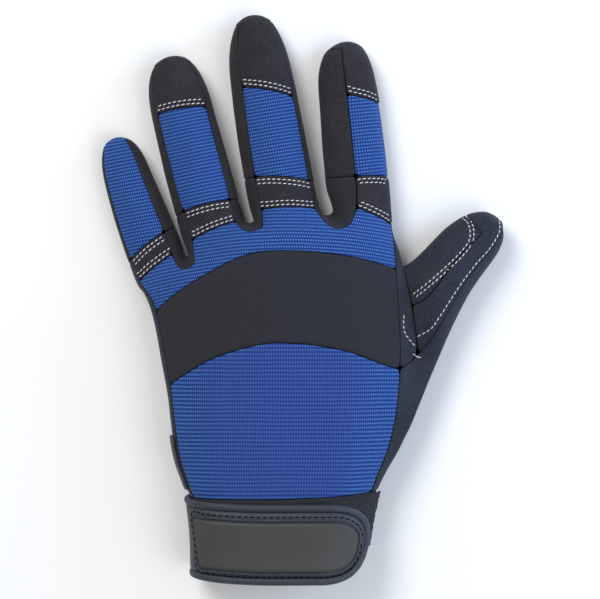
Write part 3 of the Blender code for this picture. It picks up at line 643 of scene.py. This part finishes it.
# The strap carries a moulded patch of dark grey rubber along most of its length, bare here.
# A raised bead runs round the patch, and holds it down on the band.
RUBBER_DARK = (0.034, 0.034, 0.033)
RUBBER_LIGHT = (0.046, 0.046, 0.045)
RUBBER_PORES = 1700
RUBBER_CLOUDS = 45
PORE_DEPTH = 0.03 * MM
PATCH_CREASE = 0.7
BEAD_OUTSET = 1.15 * MM  # round the patch
BEAD_RADIUS = 0.50 * MM
BEAD_LIFT = 0.1 * MM
SAME_FACE = 1.0  # radians; the outer face ends where it turns more than this
rubber, rubber_shader = start_material("rubber", (0.070, 0.070, 0.066), roughness=0.62)
pores = noise(rubber, RUBBER_PORES, detail=3, roughness=0.6)
cloudy = noise(rubber, RUBBER_CLOUDS, detail=2, roughness=0.5)
paint(rubber, rubber_shader, blend_colours(rubber, cloudy, RUBBER_DARK, RUBBER_LIGHT))
bump(rubber, rubber_shader, pores, PORE_DEPTH)
patch = cloth_panel("strap_patch", crease=PATCH_CREASE, crumpled=False)
patch.data.materials.append(rubber)


def outer_rim(node):
    """The edge of a strap piece's outer face, in order round it."""
    work = bmesh.new()
    work.from_mesh(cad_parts[node].data)
    bmesh.ops.remove_doubles(work, verts=work.verts, dist=MERGE)
    outer = {max(work.faces, key=lambda face: face.calc_center_median().z * face.normal.z)}
    waiting = list(outer)
    while waiting:
        for edge in waiting.pop().edges:
            if edge.calc_face_angle() < SAME_FACE:
                for face in edge.link_faces:
                    if face not in outer:
                        outer.add(face)
                        waiting.append(face)
    rim = {}
    for edge in work.edges:
        if sum(face in outer for face in edge.link_faces) == 1:
            one, other = edge.verts[0].index, edge.verts[1].index
            rim.setdefault(one, []).append(other)
            rim.setdefault(other, []).append(one)
    places = {v.index: v.co.copy() for v in work.verts}
    work.free()
    start = max(rim, key=lambda k: places[k].x)
    loop, last = [start], None
    while True:
        onward = [k for k in rim[loop[-1]] if k != last]
        if not onward or onward[0] == start:
            break
        last = loop[-1]
        loop.append(onward[0])
    return [places[k] for k in loop]


def round_rim(loop, tree, outset):
    """A smooth closed line on the surface, so far outside a rim, as points and directions."""
    line = curve_through(loop + loop[:1])[:-1]
    centre = sum(loop, Vector()) / len(loop)
    asides, votes = [], 0
    for k, point in enumerate(line):
        way = (line[(k + 1) % len(line)] - line[k - 1]).normalized()
        normal = tree.find_nearest(point)[1]
        asides.append(way.cross(normal).normalized())
        votes += math.copysign(1, asides[-1].dot(centre - point))
    side = math.copysign(outset, -votes)
    return [tree.find_nearest(point + aside * side)[:2] for point, aside in zip(line, asides)]


def tube(name, row, radius, lift):
    """A round cord along a closed row of surface points."""
    data = bpy.data.curves.new(name, "CURVE")
    data.dimensions = "3D"
    data.bevel_depth = radius
    data.bevel_resolution = 3
    spline = data.splines.new("POLY")
    spline.points.add(len(row) - 1)
    for point, (place, normal) in zip(spline.points, row):
        point.co = (*(place + normal * lift), 1)
    spline.use_cyclic_u = True
    made = bpy.data.objects.new(name, data)
    bpy.context.scene.collection.objects.link(made)
    select_only(made)
    bpy.ops.object.convert(target="MESH")
    made = bpy.context.active_object
    bpy.ops.object.shade_smooth()
    return made


strap_tree = tree_of(bpy.data.objects["strap_body_cloth"])
patch_rim = outer_rim("strap_patch")
bead = tube("strap_bead", round_rim(patch_rim, strap_tree, BEAD_OUTSET), BEAD_RADIUS, BEAD_LIFT)
bead.data.materials.append(binding)
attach(bead, "root")

# The tape and the patch are sewn to the band in one row of black thread, round the bead.
# It is the same lockstitch as on the suede, in thicker thread and longer steps.
STRAP_THREAD_DARK = (0.0015, 0.0018, 0.0022)
STRAP_THREAD_LIGHT = (0.006, 0.007, 0.009)
STRAP_THREAD_SPECULAR = 0.1
STRAP_ROW_OUTSET = 2.6 * MM  # round the patch, outside the bead
STRAP_STEP = 2.7 * MM
STRAP_THREAD_SIZE = 1.3
STRAP_THREAD_LIFT = 0.16 * MM
dark_thread, dark_shader = start_material("dark_thread", (0.004, 0.005, 0.006), roughness=0.9)
dark_shader.inputs["Specular IOR Level"].default_value = STRAP_THREAD_SPECULAR
twist = noise(dark_thread, THREAD_TWIST, detail=2, roughness=0.6)
tone = blend_colours(dark_thread, twist, STRAP_THREAD_DARK, STRAP_THREAD_LIGHT)
paint(dark_thread, dark_shader, tone)
sew("strap_stitching", [round_rim(patch_rim, strap_tree, STRAP_ROW_OUTSET)],
    material=dark_thread, step=STRAP_STEP, size=STRAP_THREAD_SIZE,
    lift=STRAP_THREAD_LIFT)
bpy.data.objects.remove(one_stitch)

# The closure's fuzzy half is a black pad of looped pile, sewn on the cuff.
# The strap's end grips it, and a wedge of it shows beyond the strap.
LOOP_DARK = (0.006, 0.007, 0.009)
LOOP_LIGHT = (0.030, 0.032, 0.040)
PILE = 1100
FUZZ_SIZE = 0.9 * MM
FUZZ_HEIGHT = 0.9 * MM
FUZZ_DEPTH = 0.5 * MM
PAD_LEVELS = 4  # fine enough for the pile
loop, loop_shader = start_material("loop", (0.010, 0.011, 0.014), roughness=0.95)
fuzz = noise(loop, PILE, detail=4, roughness=0.7)
lit = ramp(loop, fuzz, 0.35, 0.7)
paint(loop, loop_shader, blend_colours(loop, lit, LOOP_DARK, LOOP_LIGHT))
bump(loop, loop_shader, fuzz, FUZZ_DEPTH)
pad = cloth_panel("loop_pad", levels=PAD_LEVELS, crumpled=False)
fuzz_texture = bpy.data.textures.new("fuzz", type="CLOUDS")
fuzz_texture.noise_scale = FUZZ_SIZE
fuzz_texture.noise_depth = 2
apply_modifier(
    pad, "DISPLACE", texture=fuzz_texture, texture_coords="LOCAL",
    strength=FUZZ_HEIGHT, mid_level=0.4,
)
pad.data.materials.append(loop)

# The glove lies on a plain pale table, under soft studio light.
# It is seen from straight above through a long lens, which leaves its sizes true.
FLOOR_SIZE = 6.0
FLOOR_DROP = 0.4 * MM  # the crumpled cloth reaches a little below its solids
SKY_STRENGTH = 0.42
AIM = Vector((0, 0.04, 0))
bpy.ops.object.select_all(action="DESELECT")
bpy.ops.mesh.primitive_plane_add(size=FLOOR_SIZE, location=(0, 0, -FLOOR_DROP))
floor = bpy.context.active_object
floor.name = "table"
pale, pale_shader = start_material("pale_table", (0.90, 0.90, 0.90), roughness=0.9)
floor.data.materials.append(pale)


def area_light(name, place, size, power, colour=(1, 1, 1)):
    data = bpy.data.lights.new(name, "AREA")
    data.shape = "DISK"
    data.size = size
    data.energy = power
    data.color = colour
    light = bpy.data.objects.new(name, data)
    bpy.context.scene.collection.objects.link(light)
    light.location = place
    light.rotation_euler = (AIM - Vector(place)).to_track_quat("-Z", "Y").to_euler()


area_light("key", (-0.7, 0.9, 1.3), size=0.9, power=18)
area_light("fill", (0.9, -0.5, 1.2), size=1.2, power=8, colour=(0.95, 0.97, 1.0))
area_light("rim", (1.1, 0.4, 0.35), size=0.6, power=10, colour=(0.42, 0.66, 1.0))

world = bpy.context.scene.world or bpy.data.worlds.new("studio")
bpy.context.scene.world = world
world.use_nodes = True
background = world.node_tree.nodes["Background"]
background.inputs["Color"].default_value = (1, 1, 1, 1)
background.inputs["Strength"].default_value = SKY_STRENGTH
bpy.context.scene.view_settings.view_transform = "Standard"

PIXEL = 0.425 * MM  # of the photograph, on the glove
VIEW_WIDTH = 600 * PIXEL
VIEW_MIDDLE = (4.25 * MM, 42.7 * MM)
SCALE_HEIGHT = 12 * MM  # above the table, where a pixel has that size
LENS = 200  # this and the sensor's width are in mm
SENSOR = 36
camera_data = bpy.data.cameras.new("camera")
camera_data.lens = LENS
camera_data.sensor_width = SENSOR
camera = bpy.data.objects.new("camera", camera_data)
bpy.context.scene.collection.objects.link(camera)
camera.location = (*VIEW_MIDDLE, VIEW_WIDTH * LENS / SENSOR + SCALE_HEIGHT)
bpy.context.scene.camera = camera
